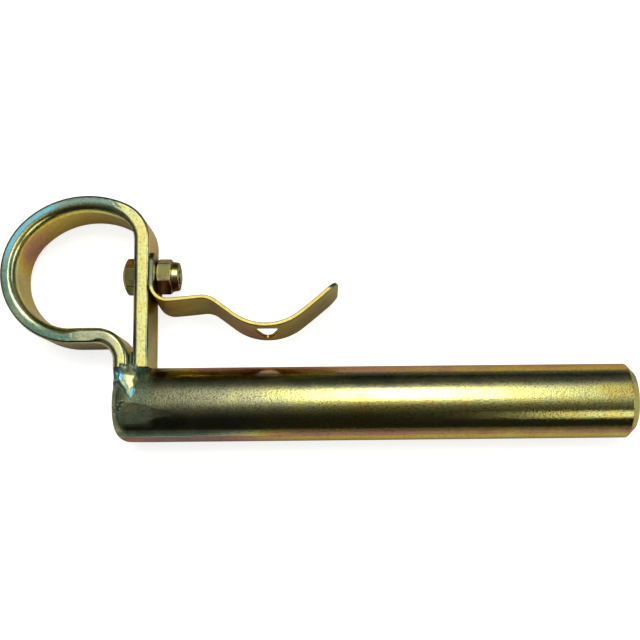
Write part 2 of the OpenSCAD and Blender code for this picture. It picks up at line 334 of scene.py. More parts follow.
def strip(shape, bend, thick, width, edges, spacing, half_width, half_thick, holes):
    """A flat blank with rounded edges and lipped holes, bent as a whole. Its section is a
    rectangle that half_width(s) and half_thick(s) narrow towards the ends. edges gives, as two
    functions of s, its rounding on the side of +h and on the side of -h. A hole is (s, w,
    outline(angle, grow), window half sizes): the grid of each flat is drawn aside from that
    window onto the outline, and a wall with round lips joins the two flats."""
    rows_at = [e for hole in holes for e in (hole[0] - hole[3][0], hole[0] + hole[3][0])]
    columns_at = [e for hole in holes for e in (hole[1] - hole[3][1], hole[1] + hole[3][1])]
    s = marks(0, bend.length, spacing,
              rows_at + end_marks() + [bend.length - e for e in end_marks()])

    def flat(edge):
        """Shares of one flat at which its columns lie, true to size at the first hole."""
        reach = width / 2 - edge(holes[0][0])
        return marks(-reach, reach, spacing, columns_at + [0.08 - reach, reach - 0.08]) / reach

    upper, lower = flat(edges[0]), flat(edges[1])[::-1]
    ones, quarter, level = np.ones, np.linspace(0, math.pi / 2, 8), np.linspace(1, -1, 5)[1:-1]
    # each column of the section: its share of the flats, and its part of the corners' rounding.
    # A corner has 8 points, and a side has 3 between its corners
    across = np.concatenate([upper[:-1], ones(8), ones(3), ones(8),
                             lower[1:-1], -ones(8), -ones(3), -ones(8)])
    across_r = np.concatenate([0 * upper[:-1], np.sin(quarter), ones(3), np.cos(quarter),
                               0 * lower[1:-1], -np.sin(quarter), -ones(3), -np.cos(quarter)])
    off = np.concatenate([ones(len(upper) - 1), ones(8), level, -ones(8), -ones(len(lower) - 2),
                          -ones(8), -level, ones(8)])
    off_r = np.concatenate([ones(len(upper) - 1), np.cos(quarter), 0 * level, -np.sin(quarter),
                            -ones(len(lower) - 2), -np.cos(quarter), 0 * level, np.sin(quarter)])
    s_grid = np.repeat(s[:, None], len(across), axis=1)
    upper_r, lower_r = edges[0](s_grid), edges[1](s_grid)
    radius = np.where(off > 0, upper_r, lower_r)
    # columns that pass a hole keep their place, and those beyond them give way at a narrow end
    at_hole = np.full_like(s_grid, holes[0][0])
    reach = width / 2 - np.where(off > 0, edges[0](at_hole), edges[1](at_hole))
    held = max(abs(hole[1]) + hole[3][1] for hole in holes)
    share = np.maximum(np.abs(across) * reach - held, 0) / (reach - held)
    from_middle = np.minimum(np.abs(across) * reach, held) + share * (half_width(s_grid) - radius - held)
    w_grid = np.sign(across) * from_middle + across_r * radius
    above = (1 + off) / 2 * (half_thick(s_grid) - upper_r)
    below = (1 - off) / 2 * (half_thick(s_grid) - lower_r)
    h_grid = above - below + off_r * radius
    on_flat = np.abs(off_r) == 1
    keep = np.ones((len(s) - 1, len(across)), bool)
    for centre_s, centre_w, shape_of, window in holes:
        across_hole = (w_grid - centre_w) / window[1]
        along_hole = (s_grid - centre_s) / window[0]
        # 1 on the window's border. The grid is drawn onto the outline there, and less and less
        # so out to 1.9
        ring = np.maximum(np.abs(across_hole), np.abs(along_hole))
        angle = np.arctan2(across_hole, along_hole)
        drawn = np.where(on_flat, 1 - smooth((ring - 1) / 0.9), 0)
        to_s, to_w = shape_of(angle, LIP_R)
        s_grid = s_grid + drawn * (centre_s + to_s * np.maximum(ring, 0.999) - s_grid)
        w_grid = w_grid + drawn * (centre_w + to_w * np.maximum(ring, 0.999) - w_grid)
        inside = (ring < 1 + 1e-6) & on_flat
        corners = inside & np.roll(inside, -1, axis=1)
        keep &= ~(corners[:-1] & corners[1:])
        angles = np.sort(angle[(np.abs(ring - 1) < 1e-6) & (off_r == 1) & on_flat])
        lip = np.linspace(0, math.pi / 2, 5)
        grow = np.concatenate([LIP_R * (1 - np.sin(lip)), LIP_R * (1 - np.cos(lip))])
        depth = thick / 2 - np.concatenate([LIP_R * (1 - np.cos(lip)), thick - LIP_R * (1 - np.sin(lip))])
        wall_s, wall_w = shape_of(angles[None, :], grow[:, None])
        wall = [centre_s + wall_s, centre_w + wall_w, np.repeat(depth[:, None], len(angles), 1)]
        shape.add(bend(*wall), wrap=True, blank=np.stack(wall, -1))
    shape.add(bend(s_grid, w_grid, h_grid), wrap=True, keep=keep,
              blank=np.stack([s_grid, w_grid, h_grid], -1))
    for row in (0, -1):
        middle = np.array([s_grid[row], 0 * w_grid[row], 0 * h_grid[row]])
        fan = np.stack([[s_grid[row], w_grid[row], h_grid[row]], middle])
        shape.add(bend(fan[:, 0], fan[:, 1], fan[:, 2]), wrap=True, blank=np.moveaxis(fan, 1, -1))


def end_marks():
    """Distances from an end of a strip at which its rounding is sampled."""
    edge = LEAF_END_R * (1 - np.cos(np.linspace(0, math.pi / 2, 5)))
    corner = LEAF_CORNER_R * (1 - np.cos(np.linspace(0.3, math.pi / 2, 12)))
    return [float(d) for d in np.concatenate([edge, corner])[1:]]


def rounding(distance, radius):
    """How much a quarter round takes off at a distance from the end."""
    d = np.clip(radius - distance, 0, radius)
    return radius - np.sqrt(radius ** 2 - d ** 2)


def round_hole(radius):
    """Outline of a round hole, grown by an amount."""
    return lambda angle, grow: ((radius + grow) * np.cos(angle), (radius + grow) * np.sin(angle))


# ---------------------------------------------------------------- finishes

def colour(code):
    """An sRGB hex colour as the linear colour that a socket takes."""
    values = [int(code[k:k + 2], 16) / 255 for k in (1, 3, 5)]
    return tuple(v / 12.92 if v <= 0.04045 else ((v + 0.055) / 1.055) ** 2.4 for v in values) + (1.0,)


def add_node(tree, kind, inputs=None, **settings):
    """Adds a node. inputs gives its sockets values, or outputs of other nodes to link."""
    made = tree.nodes.new("ShaderNode" + kind)
    for name, value in settings.items():
        setattr(made, name, value)
    for name, value in (inputs or {}).items():
        if isinstance(value, bpy.types.NodeSocket):
            tree.links.new(value, made.inputs[name])
        else:
            made.inputs[name].default_value = value
    return made


# The colours that a chromate film runs through as it thickens, each at its tone: thin and blue,
# green, olive, straw, gold, tan, pink, and thick and grey. Zinc chromate shows all of them on one
# part. The tones in the finishes below are places on this run.
FILM = [(0.00, "#70B4C4"), (0.10, "#74A0A4"), (0.20, "#798F83"), (0.30, "#547667"),
        (0.40, "#909C7A"), (0.48, "#BABA94"), (0.58, "#DADA8C"), (0.70, "#DCC462"),
        (0.81, "#CBA278"), (0.91, "#B58880"), (1.00, "#8C8187")]
FILM_AT_GRAZING = "#DCC6B0"
# What a film is like over pitted metal: paler, hardly a mirror, and rough, with a deep grain
PITTED_DEPTH, PITTED_METALLIC, PITTED_ROUGH, PITTED_GRAIN_MM = 1.3, 0.2, 0.52, 0.09


def film_steel(name, mottle_mm, mottle, grain_mm, grain_height_mm, stretch, rough, speck, depth):
    """Steel under a chromate film. The film's tone is the mesh's own, clouded by a soft pattern
    of mottle_mm, and runs through the film's colours. The metal under it has a grain of
    grain_mm, coarser than the real one so that it shows, drawn out along the strip or bar by
    stretch. Colour, reflection and grain go from the smooth metal's to the pitted metal's as
    the mesh's own roughness rises, and depth scales the smooth metal's colour."""
    material = bpy.data.materials.new(name)
    material.use_nodes = True
    tree = material.node_tree
    tree.nodes.clear()
    blank = add_node(tree, "Attribute", attribute_name="blank").outputs["Vector"]
    tone = add_node(tree, "Attribute", attribute_name="tone").outputs["Fac"]
    pitted = add_node(tree, "Attribute", attribute_name="rough").outputs["Fac"]
    drawn = add_node(tree, "Mapping", {"Vector": blank, "Scale": (1 / stretch, 1, 1)}).outputs["Vector"]
    cloud = add_node(tree, "TexNoise", {"Vector": drawn, "Scale": 1 / (mottle_mm * MM), "Detail": 4.0,
                                        "Roughness": 0.6}).outputs["Fac"]
    grain = add_node(tree, "TexNoise", {"Vector": drawn, "Scale": 1 / (grain_mm * MM), "Detail": 2.0,
                                        "Roughness": 0.6}).outputs["Fac"]
    clouded = add_node(tree, "MapRange", {"Value": cloud, "From Min": 0.3, "From Max": 0.7,
                                          "To Min": -mottle, "To Max": mottle}).outputs["Result"]
    total = add_node(tree, "Math", {0: tone, 1: clouded}, operation="ADD").outputs["Value"]
    ramp = add_node(tree, "ValToRGB", {"Fac": total})
    stops = ramp.color_ramp.elements
    while len(stops) < len(FILM):
        stops.new(0.5)
    for stop, (film_tone, code) in zip(stops, FILM):
        stop.position = film_tone
        stop.color = colour(code)
    specks = add_node(tree, "MapRange", {"Value": grain, "From Min": 0.35, "From Max": 0.5,
                                         "To Min": 1 - speck, "To Max": 1.0}).outputs["Result"]
    lift = add_node(tree, "MapRange", {"Value": pitted, "To Min": depth,
                                       "To Max": PITTED_DEPTH}).outputs["Result"]
    lifted = add_node(tree, "Math", {0: specks, 1: lift}, operation="MULTIPLY").outputs["Value"]
    base = add_node(tree, "VectorMath", {0: ramp.outputs["Color"], "Scale": lifted}, operation="SCALE")
    metallic = add_node(tree, "MapRange", {"Value": pitted, "To Min": 1.0, "To Max": PITTED_METALLIC})
    roughness = add_node(tree, "MapRange", {"Value": pitted, "To Min": rough, "To Max": PITTED_ROUGH})
    height = add_node(tree, "MapRange", {"Value": pitted, "To Min": grain_height_mm * MM,
                                         "To Max": PITTED_GRAIN_MM * MM})
    bump = add_node(tree, "Bump", {"Strength": 1.0, "Height": grain,
                                   "Distance": height.outputs["Result"]})
    shader = add_node(tree, "BsdfPrincipled", {
        "Base Color": base.outputs["Vector"], "Metallic": metallic.outputs["Result"],
        "Roughness": roughness.outputs["Result"], "Specular Tint": colour(FILM_AT_GRAZING),
        "Normal": bump.outputs["Normal"]})
    output = add_node(tree, "OutputMaterial")
    tree.links.new(shader.outputs["BSDF"], output.inputs["Surface"])
    return material


def natural_nylon():
    """Moulded nylon, unpigmented: milky, softly shiny, a little light goes in."""
    material = bpy.data.materials.new("natural_nylon")
    material.use_nodes = True
    tree = material.node_tree
    shader = tree.nodes["Principled BSDF"]
    place = add_node(tree, "TexCoord").outputs["Object"]
    cloud = add_node(tree, "TexNoise", {"Vector": place, "Scale": 1 / (2 * MM)}).outputs["Fac"]
    ramp = add_node(tree, "ValToRGB", {"Fac": cloud})
    ramp.color_ramp.elements[0].color = colour("#CFC9AE")
    ramp.color_ramp.elements[1].color = colour("#E9E5D3")
    tree.links.new(ramp.outputs["Color"], shader.inputs["Base Color"])
    shader.inputs["Roughness"].default_value = 0.42
    shader.inputs["IOR"].default_value = 1.53
    shader.inputs["Subsurface Weight"].default_value = 0.15
    shader.inputs["Subsurface Radius"].default_value = (0.002, 0.0015, 0.001)
    return material


# Drawn bar under a film: bright and nearly a mirror, its grain breaks up the ends of a highlight
DRAWN_BAR = film_steel("chromate_on_drawn_bar", mottle_mm=8, mottle=0.06, grain_mm=0.6,
                       grain_height_mm=0.032, stretch=1.2, rough=0.15, speck=0.4, depth=1.0)
# Rolled flat bar under a film: wide flats that mirror softly, pitted rolled edges
FLAT_BAR = film_steel("chromate_on_rolled_flat", mottle_mm=7, mottle=0.05, grain_mm=0.8,
                      grain_height_mm=0.02, stretch=1.4, rough=0.2, speck=0.3, depth=1.35)
# Spring strip under a film: flat and even, brightest on its cut edges
SPRING_STRIP = film_steel("chromate_on_spring_strip", mottle_mm=6, mottle=0.07, grain_mm=0.5,
                          grain_height_mm=0.012, stretch=2.5, rough=0.24, speck=0.12, depth=0.66)
# Weld metal under a film: lumpy, with the strongest run of colours
WELD_METAL = film_steel("chromate_on_weld_metal", mottle_mm=3, mottle=0.10, grain_mm=0.6,
                        grain_height_mm=0.02, stretch=1.0, rough=0.22, speck=0.2, depth=1.0)
# Cold-formed bolt and nut under a film: dull brown-olive
FASTENER = film_steel("chromate_on_cold_formed_steel", mottle_mm=3, mottle=0.08, grain_mm=0.45,
                      grain_height_mm=0.012, stretch=1.0, rough=0.2, speck=0.2, depth=0.66)
NYLON = natural_nylon()


# ---------------------------------------------------------------- pieces

def pin_shank():
    """The turned shank: its profile carried round X. Two planes, where the head was dressed
    after welding, cut shallowly into it, and a V-shaped mark is struck into it. Arc lengths
    here run round the shank from its front towards +Y."""
    head = outline([(HEAD_X, 0, 0), (HEAD_X, HEAD_R, HEAD_ROUND), (0, SHANK_R, HEAD_BLEND),
                    (HEAD_END, SHANK_R, 0)], spacing=0.3)
    grip = outline([(HEAD_END, SHANK_R, 0), (TIP_X - TIP_CHAMFER, SHANK_R, TIP_EDGE_R),
                    (TIP_X, SHANK_R - TIP_CHAMFER, TIP_EDGE_R), (TIP_X, 0, 0)], spacing=1.5)

    def plane(turn, facing, distance):
        """Radius up to a plane that faces a direction, in degrees, at a distance from the axis."""
        return distance / np.maximum(np.cos(turn - math.radians(facing)), 0.2)

    def groove(x, arc, start, end):
        """Depth of a groove from start to end, as (x, arc): a bell over the distance to it."""
        start, along = np.array(start), np.array(end) - np.array(start)
        share = ((x - start[0]) * along[0] + (arc - start[1]) * along[1]) / (along @ along)
        share = np.clip(share, 0, 1)
        away = np.hypot(x - start[0] - share * along[0], arc - start[1] - share * along[1])
        return STRUCK_DEPTH * np.exp(-(away / STRUCK_W) ** 2)

    def struck(x, turn):
        """Depth of the V-shaped mark: two grooves that meet."""
        arc = SHANK_R * ((turn + math.pi) % (2 * math.pi) - math.pi)
        one, elbow, other = STRUCK_AT
        return np.maximum(groove(x, arc, one, elbow), groove(x, arc, elbow, other))

    def radius(x, r, turn):
        """The profile's radius, less what the two planes and the mark take off near the head."""
        front = plane(turn, -16, SHANK_R - 0.68 + 0.62 * smooth((x + 7) / 13))
        corner = plane(turn, 4, SHANK_R - 0.45 - 0.10 * (-9 - x) + 3 * smooth((x + 9.5) / 3))
        cut = np.minimum(np.minimum(r, front), corner) - struck(x, turn)
        return np.where((r > 0.7 * SHANK_R) & (x < HEAD_END), cut, r)

    def finish(p, blank):
        """Film in bands along the shank: a straw body between tan bands. Towards the head they
        turn olive and green, but for a greyish rim along the lowest part. The dressed planes
        are olive. The struck mark's groove is painted dark green, as painted shade and dirt, and
        its lip is painted a paler straw, as a painted highlight."""
        x, y, z = p[:, 0], p[:, 1], p[:, 2]
        across = np.abs(y) / SHANK_R
        sides = smooth((across - 0.70) / 0.08)
        head_side = smooth((78 - x) / 70)
        near = smooth((60 - x) / 45)
        body = 0.605 - 0.14 * head_side + 0.025 * waves(p * (0.3, 1, 1), 14, 3)
        body = body - 0.14 * smooth((y / SHANK_R - 0.25) / 0.25) * (1 - head_side)
        above = 0.84 + 0.06 * waves(p * (0.2, 1, 1), 16, 8) - 0.1 * smooth((x - 90) / 60)
        above = above - 0.5 * smooth((24 - x) / 24)
        lowest = smooth((across - 0.86 - 0.01 * waves(p * (0.3, 0, 0), 3, 6)) / 0.015)
        below = 0.80 - (0.50 - 0.69 * lowest) * near + 0.05 * waves(p * (0.2, 1, 1), 18, 9)
        below = below - 0.16 * smooth((across - 0.86) / 0.06) * (1 - near)
        tone = body + sides * (np.where(y > 0, above, below) - body)
        dressed = smooth((3 - x) / 4) * smooth(z / 6) * smooth((y + 9.5) / 3)
        tone = tone + dressed * (0.37 - tone) * 0.8
        # the struck mark: a painted highlight of paler straw on its lip, and painted shade and dirt of
        # dark green in its groove
        depth = struck(x, np.arctan2(y, z)) * (z > 0)
        lip = smooth((depth - 0.03) / 0.04) * smooth((0.2 - depth) / 0.06)
        tone = tone + lip * (0.58 - tone)
        return tone + smooth((depth - 0.2) / 0.1) * (0.28 - tone), 0.2 * dressed

    shape = Shape()
    shape.add(turned(np.concatenate([head, grip[1:]]), 360, radius=radius), wrap=True)
    return shape.build("shank_turned", DRAWN_BAR, finish)


def loop_handle():
    """The flat bar, bent: straight leg, crown, back, round end, strap and heel. The strap and
    the heel's straight are as long as it takes to stand the heel beside the leg."""
    start = (-BAR_T / 2, SEAT_Y, math.pi / 2)
    steps = [(LEG_L, 0), (CROWN_R, CROWN_A), (BACK_R, BACK_A), (ROUND_R, 270 - CROWN_A - BACK_A)]
    end_x, end_y = Bend(start, steps).poses[-1][:2]
    heel_x = BAR_T / 2 - FOOT_SPAN
    steps += [(heel_x - HEEL_R - end_x, 0), (HEEL_R, -90), (end_y - HEEL_R - SEAT_Y, 0)]
    bend = Bend(start, steps)
    centre = (end_x, end_y + ROUND_R)

    def finish(p, blank):
        """Straw flats with two tan patches, and pitted edges, which are straw on the leg and
        the strap, and blue to green round the end. A greener line parts flats and edges."""
        angle = np.degrees(np.arctan2(p[:, 1] - centre[1], p[:, 0] - centre[0])) % 360
        speckled = angle + 7 * waves(p, 1.6, 31)
        from_edge = np.abs(p[:, 2]) - BAR_W / 2
        edge = smooth((from_edge + 0.06) / 0.04)
        corner = smooth((from_edge + 2.2) / 0.8) - edge
        round_part = smooth((speckled - 52) / 10) * smooth((278 - speckled) / 10)
        round_part = round_part * smooth((-9 - p[:, 0]) / 3)
        blue = smooth((angle - 96) / 14) * smooth((176 - angle) / 16)
        low = smooth((angle - 168) / 32)
        rim = 0.59 + 0.03 * waves(p, 5, 14) - 0.17 * patch(p, (-22, 25, 12), (14, 4, 9))
        rim = rim + round_part * (0.20 + 0.11 * low - rim) - 0.2 * blue * round_part
        flats = tinted(0.62 + 0.07 * waves(p * (1, 1, 0.4), 20, 4), p, [
            (0.24, (-47, 60, 0), (8, 7, 14)), (0.16, (-30, 76, 0), (9, 5, 14)),
            (-0.06, (-53, 39, 0), (12, 14, 14)), (-0.06, (0, 32, 0), (4, 14, 14))])
        return flats + edge * (rim - flats) - 0.16 * corner, edge

    def inner_edge(s):
        """Rounding of the edges inside the loop, which swells in its bends."""
        bends = smooth((s - bend.ends[2] + 6) / 12) * smooth((bend.ends[4] + 4 - s) / 8)
        return BAR_EDGES[0] + BEND_SWELL * bends

    def outer_edge(s):
        """Rounding of the edges outside the loop, which grows down the heel."""
        return BAR_EDGES[1] + FOOT_DRESSED * smooth((s - bend.ends[5] + 3) / 6)

    shape = Shape()
    strip(shape, bend, BAR_T, BAR_W, (inner_edge, outer_edge), 0.8,
          half_width=lambda s: BAR_W / 2 + 0 * s, half_thick=lambda s: BAR_T / 2 + 0 * s,
          holes=[(BOLT_Y - SEAT_Y, 0, round_hole(HOLE_R), HOLE_WINDOW)])
    return shape.build("loop_handle", FLAT_BAR, finish)


def leaf_bow(length):
    """Angle of the slight bow that a straight of the leaf keeps."""
    return math.degrees(length / BOW_R)


def egg(angle, grow):
    """Outline of the catch hole about its middle: two circles, the larger to +Z, and the
    straights that are tangent to both."""
    big, small = CATCH_D / 2, CATCH_TAIL_D / 2
    top, low = CATCH_L / 2 - big, small - CATCH_L / 2
    lean = math.asin((big - small) / (top - low))
    round_part = np.stack([np.cos(angle), np.sin(angle)])
    share = smooth((round_part[1] + math.sin(lean) + 0.55) / 1.1)
    radius = small + (big - small) * share
    middle = low + (top - low) * share
    return (radius + grow) * round_part[0], middle + (radius + grow) * round_part[1]


def leaf_spring():
    """The leaf: a blank with round corners, a bolt hole and an egg-shaped hole, bent into foot,
    arm, shoulder, dip and tip, and turned a little about its bolt."""
    arm, slope, tip = leaf_bow(ARM_L), leaf_bow(DIP_L), leaf_bow(TIP_L)
    steps = [(FOOT_UP + FOOT_DOWN, 0), (FOOT_R, 90 + ARM_RISE - arm / 2), (BOW_R, arm),
             (SHOULDER_R, -(ARM_RISE + arm / 2 + DIP_A - slope / 2)), (BOW_R, -slope),
             (DIP_R, DIP_A + slope / 2 + TIP_A - tip / 2), (BOW_R, tip)]
    bend = Bend((LEAF_T / 2, BOLT_Y + FOOT_UP, -math.pi / 2), steps)
    lowest = bend.ends[5] + DIP_R * math.radians(DIP_A + slope / 2)

    def from_end(s):
        """Distance to the nearer end of the blank."""
        return np.minimum(s, bend.length - s)

    def finish(p, blank):
        """Straw flats with two tan patches, and pitted cut edges that are a little deeper. The
        foot is olive."""
        s, w, h = blank[:, 0], blank[:, 1], blank[:, 2]
        cut_edge = smooth((np.abs(w) - LEAF_W / 2 + 0.07) / 0.05)
        below = smooth(-h / 0.4)
        foot = smooth((FOOT_UP + FOOT_DOWN + 3 - s) / 3)
        flats = 0.60 + 0.07 * waves(p, 15, 6) + 0.06 * below - 0.08 * smooth((p[:, 0] - 42) / 12)
        flats = tinted(flats, p, [(0.2, (42, 31, 0), (9, 8, 18)), (0.2, (9, 42, 0), (7, 4, 9))])
        rim = 0.66 - 0.32 * foot
        return flats + cut_edge * (rim - flats) - 0.2 * foot * (1 - cut_edge), cut_edge

    shape = Shape()
    strip(shape, TurnedBend(bend, math.radians(-LEAF_TURN), BOLT_Y), LEAF_T, LEAF_W,
          (lambda s: LEAF_EDGE_R + 0 * s,) * 2, 0.55,
          half_width=lambda s: LEAF_W / 2 - rounding(from_end(s), LEAF_CORNER_R),
          half_thick=lambda s: LEAF_T / 2 - rounding(from_end(s), LEAF_END_R),
          holes=[(FOOT_UP, 0, round_hole(HOLE_R), HOLE_WINDOW), (lowest, 0, egg, CATCH_WINDOW)])
    return shape.build("leaf_spring", SPRING_STRIP, finish)


def weld_skin():
    """Grids of the weld's skin and of its floor inside the shank. Rows run round the shank from
    its front over the bar's seat to its back, and columns run along it. The skin is a radius
    from the shank's axis: level under the bar, then a bead that thins out to a toe, with lumps,
    and dressed flush with the head on its outer side."""
    toe = math.radians(2.5)
    turn = np.linspace(toe, math.pi - toe, 190)[:, None]
    share = np.linspace(0, 1, 81)[None, :]
    height = SHANK_R * np.sin(turn)
    side = np.minimum(turn, math.pi - turn)
    wobble = 0.35 * waves(np.stack([height * 0, height, SHANK_R * np.cos(turn)], -1), 5, 41)
    # where the bead starts and ends along X, at heights above the axis
    bead_low = wobble + np.interp(height, [0.6, 2.8, 5.1, 8.1, 12.2, 13.8],
                                  [-6.9, -7.3, -8.3, -11.2, -11.6, -13])
    bead_high = wobble + np.interp(height, [0.6, 3.6, 6.2, 8.1, 10, 13.8],
                                   [-6.3, -4.1, -3.9, -4.4, -3.6, -1])
    low = np.minimum(bead_low - 0.5, np.interp(height, [2.5, 8], [-6.5, HEAD_X + 0.5]))
    high = bead_high + 0.5 + 0.9 * smooth((height - 12.5) / 1.5)
    x = low + (high - low) * share
    # the bead swells towards the bar's lower corner, where it climbs up the bar's edges
    corner = math.atan2(SEAT_Y, BAR_W / 2 - 0.5)
    rise = np.clip((side - toe) / (corner - toe), 0, 1) ** 1.6
    bulge = (SEAT_Y / math.sin(corner) - SHANK_R) * rise
    bell = smooth((x - bead_low + 0.3) / 1.0) * smooth((bead_high + 0.3 - x) / 1.4)
    flow = np.stack([x, SHANK_R * np.sin(turn) + 0 * x, SHANK_R * np.cos(turn) + 0 * x], -1)
    calm = 1 - 0.92 * patch(flow * (1, 1, 0), (-6.2, 9.0, 0), (4.0, 5.5, 1))
    lumps = (0.13 * waves(flow, 4.2, 21) + 0.04 * waves(flow, 1.6, 5)) * calm - 0.15 * (x + 7)
    lumps = lumps * bell * smooth((side - toe) / 0.35)
    ragged = 1.8 + 0.8 * waves(flow * (1, 0, 0.5), 2.6, 17)
    climb = ragged * smooth((side - corner + 0.2) / 0.17)
    climb = climb * smooth((x - low) / 0.8) * smooth((high - x) / 0.8)
    radius = HEAD_R - 0.05 + (bulge + lumps) * bell + climb
    radius = radius - 0.5 * bell * np.exp(-((side - corner + 0.03) / 0.025) ** 2)
    under = SEAT_Y / np.sin(turn)
    radius = np.where(side > corner, under - 0.05, np.minimum(radius, under + 0.6 + climb))
    closing = smooth(share / 0.05) * smooth((1 - share) / 0.05)
    radius = WELD_FLOOR_R + (radius - WELD_FLOOR_R) * closing ** 0.5
    skin = np.stack([x, radius * np.sin(turn), radius * np.cos(turn)], -1)
    skin[..., 2] = np.clip(skin[..., 2], 0.02 - SHANK_R, SHANK_R - 0.02)
    floor = np.stack([x, WELD_FLOOR_R * np.sin(turn) + 0 * x, WELD_FLOOR_R * np.cos(turn) + 0 * x], -1)
    return skin, floor


def weld_root():
    """Grid of the bead that fills the gap between the legs: an oval carried along Z, which
    closes at both ends and whose upper line is a little wavy."""
    section = np.linspace(0, 2 * math.pi, 48, endpoint=False)[None, :]
    run = np.linspace(-1, 1, 40)[:, None]
    swell = (1 - np.abs(run) ** 10) ** 0.5
    x = -FOOT_SPAN / 2 + (LEG_GAP / 2 + 0.1) * np.cos(section) * swell
    y = SEAT_Y + 2.8 + (3.2 + 0.25 * np.sin(9 * run)) * np.sin(section) * swell
    z = (BAR_W / 2 - 1.4) * run + 0 * section
    return np.stack([x, y, z], -1)


def weld():
    """The weld metal: the bead that runs over the shank's crown and down both its sides, and
    the root bead between the bar's two ends."""

    def finish(p, blank):
        """Olive green, with three blue patches and a straw one on the front. The straw patch lies on
        the front bulge and is partly a painted highlight. The dressed side and the upper line are
        an even green."""
        front = smooth(p[:, 2] / 4)
        tone = 0.34 + 0.08 * waves(p, 5, 2)
        # the last patch, straw on the front bulge, is partly the film's straw and partly a painted
        # highlight
        for centre, size, film in (((-10.6, 10.4, 12), (2.4, 2.6, 9), 0.02),
                                   ((-12.2, 13.0, 12), (2.4, 1.2, 9), 0.06),
                                   ((-5.0, 3.0, 14), (2.0, 3.4, 9), 0.0),
                                   ((-6.0, 9.2, 12), (2.6, 4.4, 9), 0.52)):
            within = front * smooth((patch(p, centre, size) - 0.45 + 0.08 * waves(p, 1.5, 7)) / 0.2)
            tone = tone + within * (film - tone)
        dressed = smooth((-11.8 - p[:, 0]) / 1.2) * smooth((13 - p[:, 1]) / 1)
        tone = tone + dressed * (0.36 - tone)
        top = smooth((p[:, 1] - 13.4) / 0.9)
        return tone + top * (0.30 - tone), 0.3 * front

    shape = Shape()
    skin, floor = weld_skin()
    shape.add(np.concatenate([skin, floor[:, ::-1]], axis=1), wrap=True)
    for end in (0, -1):
        shape.add(np.stack([skin[end], floor[end]]))
    shape.add(weld_root(), wrap=True)
    return shape.build("weld_bead_rippled", WELD_METAL, finish, sharp=60)


def hexagon(corner_angle):
    """Limits a radius to a hexagon across flats HEX_AF with worn corners. One of its corners
    stands at an angle from -Z towards +Y."""
    flat_at = math.radians(180 - corner_angle + 30)

    def limit(x, r, turn):
        sector = (turn - flat_at + math.pi / 6) % (math.pi / 3) - math.pi / 6
        return np.minimum(r, np.minimum(HEX_AF / 2 / np.cos(sector), HEX_CORNER_R))
    return limit


def hex_bolt():
    """Hex bolt: a head with a domed end, and a shank that ends in a cut thread, whose radius
    falls by the thread's depth along a helix."""
    head_x, head_back, end_x = BOLT_LOW[0], -BAR_T, BOLT_HIGH[0]
    r = np.linspace(0, HEX_BLANK_R, 30)
    dome = np.stack([head_x + DOME_R - np.sqrt(DOME_R ** 2 - r ** 2), r], -1)
    dome_l = DOME_R - math.sqrt(DOME_R ** 2 - HEX_DOME_R ** 2)
    rest = outline([(head_x + dome_l, HEX_BLANK_R, 0), (head_back, HEX_BLANK_R, 0.2),
                    (head_back, BOLT_R, 0.3), (LEAF_T, BOLT_R, 0)], spacing=0.5)
    run = np.stack([np.linspace(LEAF_T, end_x, 90), np.full(90, BOLT_R)], -1)
    face = np.stack([np.full(4, end_x), np.linspace(THREAD_END_R, 0, 4)], -1)

    def thread(x, r, turn):
        """Radius of the thread: cut along a helix past the leaf, and led in at the end."""
        phase = (x / THREAD_PITCH - turn / (2 * math.pi)) % 1
        crest = np.clip(np.abs(phase - 0.5) * 2.4 - 0.15, 0, 1)
        cut = THREAD_DEPTH * (1 - crest) * smooth((x - LEAF_T) / 1.5)
        lead = THREAD_LEAD * (1 - np.clip((end_x - x) / THREAD_LEAD, 0, 1))
        return np.where(r > THREAD_END_R, np.minimum(r - cut, r - lead), r)

    def finish(p, blank):
        """Straw, with its sides painted for how they are lit: a darker pink on its upper side, as painted
        shade, and olive on its lower one.
        """
        # painted light and shade by side: the upper facets are painted a darker pink as painted shade,
        # and the lower ones olive
        above = smooth((p[:, 1] - BOLT_Y - 2) / 1)
        below = smooth((BOLT_Y - 4.5 - p[:, 1]) / 1)
        return 0.56 + 0.05 * waves(p, 5, 11) + 0.32 * above - 0.12 * below, 0 * above

    shape = Shape()
    shape.add(turned(np.concatenate([dome, rest[1:]]), 360, BOLT_Y, hexagon(HEAD_TURN)), wrap=True)
    shape.add(turned(np.concatenate([run, face]), 360, BOLT_Y, thread), wrap=True)
    return shape.build("hex_bolt", FASTENER, finish, sharp=25)


